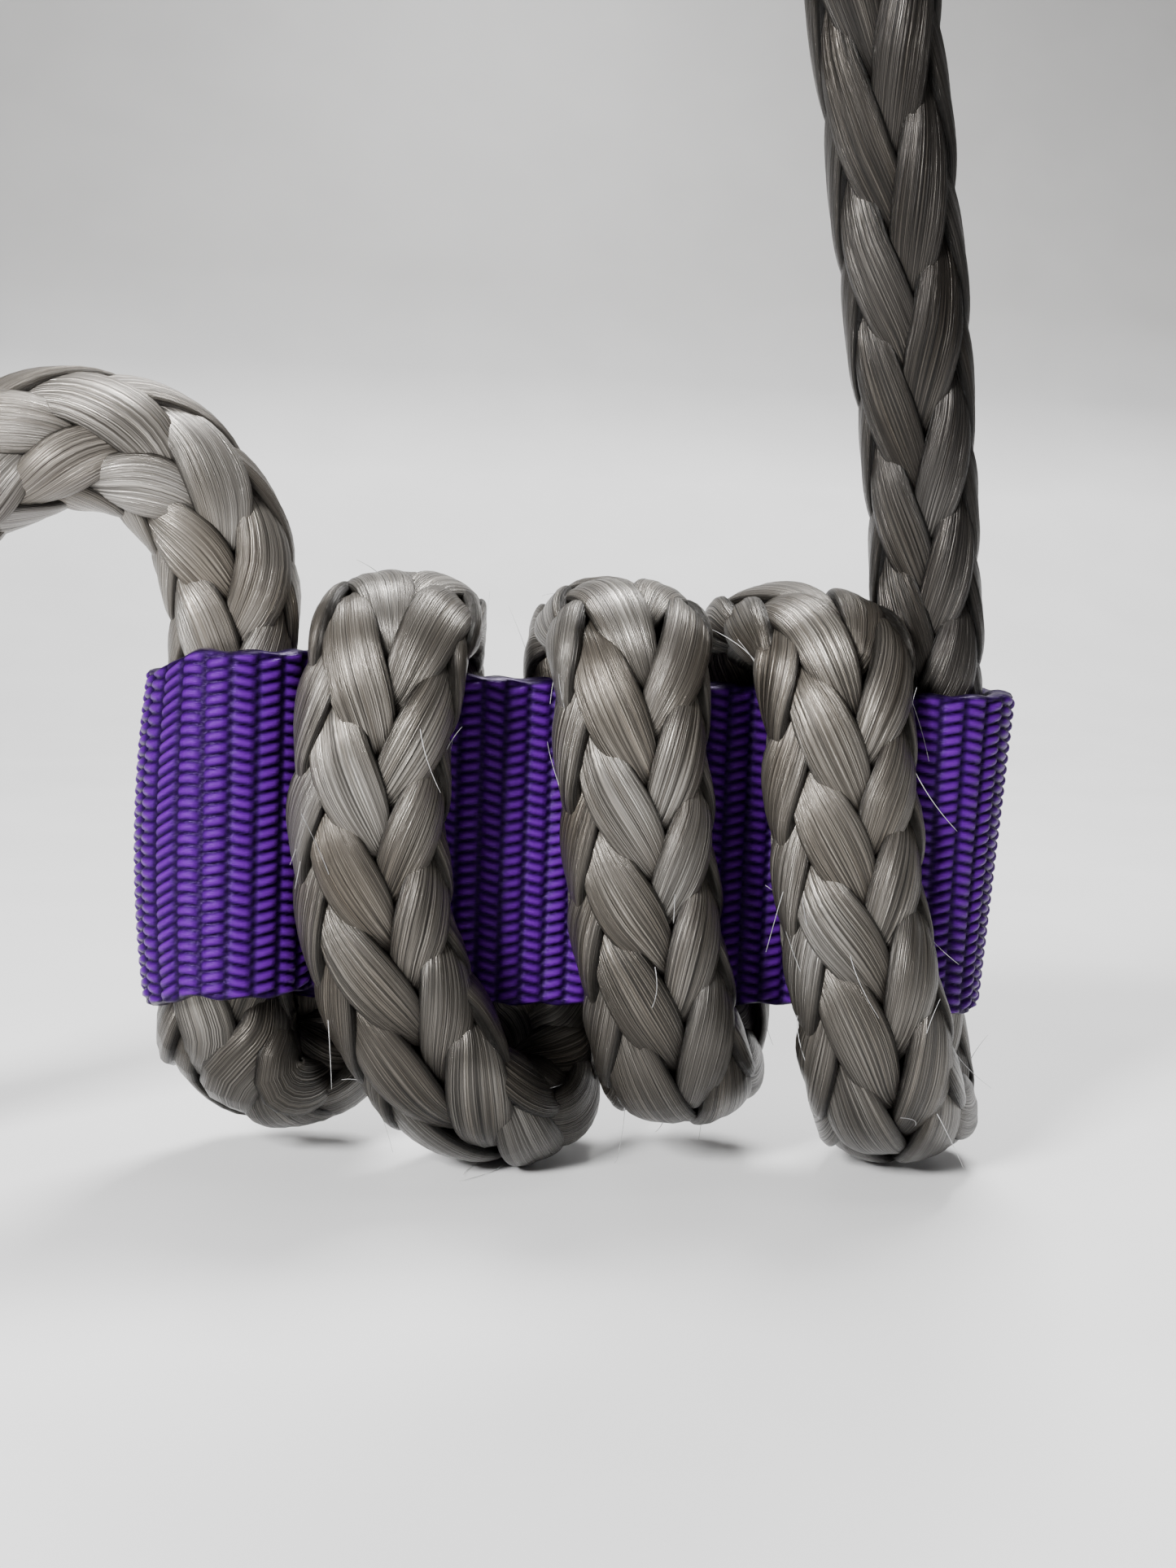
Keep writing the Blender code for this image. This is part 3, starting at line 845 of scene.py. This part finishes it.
def stage_material():
    """A pale floor, and a backdrop with painted light: a brighter band just above the floor, then painted
    shade darkening upwards.
    """
    m = Nodes("pale_floor")
    place = m.add("ShaderNodeTexCoord").outputs["Object"]
    specks = m.stretched_noise(place, (1, 1, 1), 30.0, 2.0)
    split = m.add("ShaderNodeSeparateXYZ")
    m.link(place, split.inputs[0])
    floor = m.ramp(specks, (0.3, grey(0.66)), (0.7, grey(0.7)))
    # Painted light and shade on the backdrop: brightest around 74 mm up, then darker upwards to less than
    # half.
    painted_backdrop_light = m.ramp(split.outputs["Z"], (0.0, grey(1.0)), (0.04, grey(1.05)), (0.074, grey(1.12)),
                  (0.114, grey(0.64)), (0.15, grey(0.52, 0.01)), (0.6, grey(0.45, 0.012)))
    m.link(m.mix("MULTIPLY", 1.0, floor, painted_backdrop_light), m.shader.inputs["Base Color"])
    m.shader.inputs["Roughness"].default_value = 0.45
    return m.material


def make_stage():
    """A floor that sweeps up into a backdrop behind the object."""
    near, bend, radius, high, half = -3.0, 0.32, 0.4, 3.0, 4.0
    profile = [(near, 0.0), (bend, 0.0)]
    for a in np.linspace(0, math.pi / 2, 16)[1:]:
        profile.append((bend + radius * math.sin(a), radius * (1 - math.cos(a))))
    profile.append((bend + radius, high))
    vertices = [(side, y, zz) for y, zz in profile for side in (-half, half)]
    faces = [(2 * i, 2 * i + 1, 2 * i + 3, 2 * i + 2) for i in range(len(profile) - 1)]
    data = bpy.data.meshes.new("floor")
    data.from_pydata(vertices, [], faces)
    data.update()
    data.polygons.foreach_set("use_smooth", np.ones(len(data.polygons), bool))
    floor = bpy.data.objects.new("floor", data)
    bpy.context.scene.collection.objects.link(floor)
    data.materials.append(stage_material())


def area_light(name, place, target, size, power, spread=180):
    """A square lamp, in metres and watts, that points at target."""
    data = bpy.data.lights.new(name, "AREA")
    data.spread = math.radians(spread)
    data.shape = "SQUARE"
    data.size = size
    data.energy = power
    lamp = bpy.data.objects.new(name, data)
    bpy.context.scene.collection.objects.link(lamp)
    back = unit(np.array(place) - np.array(target))
    right = unit(np.cross((0, 0, 1), back)) if abs(back[2]) < 0.99 else np.array((1.0, 0, 0))
    up = np.cross(back, right)
    lamp.matrix_world = frame_matrix(right, up, back, place)


make_stage()
area_light("key", (0.2, 0.3, 0.7), (0.04, 0, 0.02), 0.22, 10.5)
area_light("front", (-0.3, -0.38, 0.3), (0.06, 0.0, 0.05), 0.14, 1.6, 70)
area_light("backdrop", (0.1, 0.2, 1.3), (0.05, 0.35, 0.0), 0.8, 8.0)
world = bpy.data.worlds.new("studio")
world.use_nodes = True
world.node_tree.nodes["Background"].inputs["Color"].default_value = (0.78, 0.76, 0.78, 1)
world.node_tree.nodes["Background"].inputs["Strength"].default_value = 0.24
bpy.context.scene.world = world

# ---------------------------------------------------------------- how it all rides

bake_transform(left_leg_rope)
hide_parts("left_leg", "left_eye")
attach(turns_rope, "turns")
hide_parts("rope_left_run", "rope_turn_1", "rope_turn_2", "rope_turn_3", "rope_right_run")
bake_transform(right_leg_rope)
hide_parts("right_leg", "right_eye")
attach(webbing_piece, "turns")
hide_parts("webbing_band")
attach(filaments, "turns")
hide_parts("rope_turn_1")
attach(seam_piece, "turns")
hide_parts("seam_thread")
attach(left_whipping, "left_leg")
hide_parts("left_eye_whipping")
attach(right_whipping, "right_leg")
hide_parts("right_eye_whipping")
